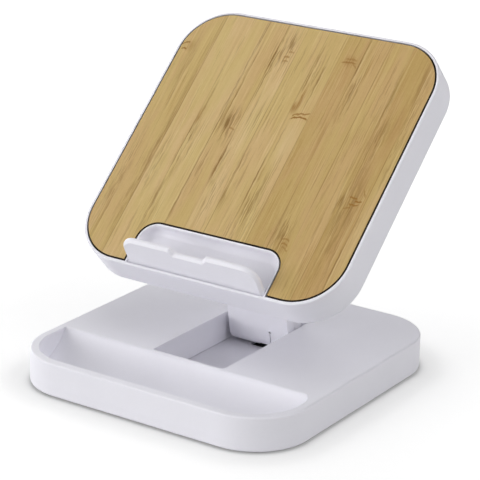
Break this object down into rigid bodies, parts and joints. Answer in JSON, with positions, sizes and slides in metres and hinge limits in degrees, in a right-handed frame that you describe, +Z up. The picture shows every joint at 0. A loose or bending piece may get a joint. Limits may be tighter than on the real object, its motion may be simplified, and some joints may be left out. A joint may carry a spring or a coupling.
{
  "type": "wireless charging stand",
  "caption": "Folding desk stand with a bamboo-faced square charging pad on a hinged arm, a flip-out phone lip, and a rounded base with a pen tray and an arm slot.",
  "frame": {"origin": "middle of the base's underside, on the surface it stands on", "axes": "+Z up, the phone side faces -Y, +X to the right of a person facing the phone"},
  "size_m": [0.11, 0.1204, 0.1132],
  "materials": {
    "white_plastic": "fine matt moulding texture",
    "bamboo": "laminated bamboo strips with a satin clear coat and laser-darkened edges",
    "pad_rubber": "matt silicone",
    "steel": "plain zinc-plated",
    "copper": null,
    "ferrite": null,
    "circuit_board": "green solder mask"
  },
  "bodies": {
    "base": {"base_housing": "white_plastic", "base_bottom_cover": "white_plastic", "anti_slip_pad": "pad_rubber", "ballast_plate_left": "steel", "ballast_plate_right": "steel", "base_cover_screw_1": "steel", "base_cover_screw_2": "steel", "base_cover_screw_3": "steel", "base_cover_screw_4": "steel", "base_hinge_bracket": "steel", "base_bracket_screw_1": "steel", "base_bracket_screw_2": "steel", "base_hinge_washer_left": "steel", "base_hinge_washer_right": "steel"},
    "arm": {"arm_front_shell": "white_plastic", "arm_rear_shell": "white_plastic", "arm_screw_1": "steel", "arm_screw_2": "steel", "base_hinge_pin": "steel", "head_hinge_pin": "steel"},
    "head": {"head_front_frame": "white_plastic", "bamboo_panel": "bamboo", "head_rear_cover": "white_plastic", "head_cover_screw_1": "steel", "head_cover_screw_2": "steel", "head_cover_screw_3": "steel", "head_cover_screw_4": "steel", "head_hinge_bracket": "steel", "head_bracket_screw_1": "steel", "head_bracket_screw_2": "steel", "head_hinge_washer_left": "steel", "head_hinge_washer_right": "steel", "charging_coil": "copper", "ferrite_sheet": "ferrite", "charger_board": "circuit_board", "usb_port": "steel", "lip_hinge_pin": "steel"},
    "lip": {"phone_lip": "white_plastic"}
  },
  "joints": [
    {"name": "arm_fold", "type": "hinge", "parent": "base", "child": "arm", "pos_m": [0, 0.0246, 0.0069], "axis": [1, 0, 0], "range_deg": [0, 78.5]},
    {"name": "head_tilt", "type": "hinge", "parent": "arm", "child": "head", "pos_m": [0, 0.01583, 0.05002], "axis": [1, 0, 0], "range_deg": [-121.2, 0]},
    {"name": "lip_fold", "type": "hinge", "parent": "head", "child": "lip", "pos_m": [0, -0.01869, 0.04092], "axis": [1, 0, 0], "range_deg": [-77, 0]}
  ],
  "couplings": [
    {"joint": "head_tilt", "follows": "arm_fold", "ratio": -1.5433}
  ]
}
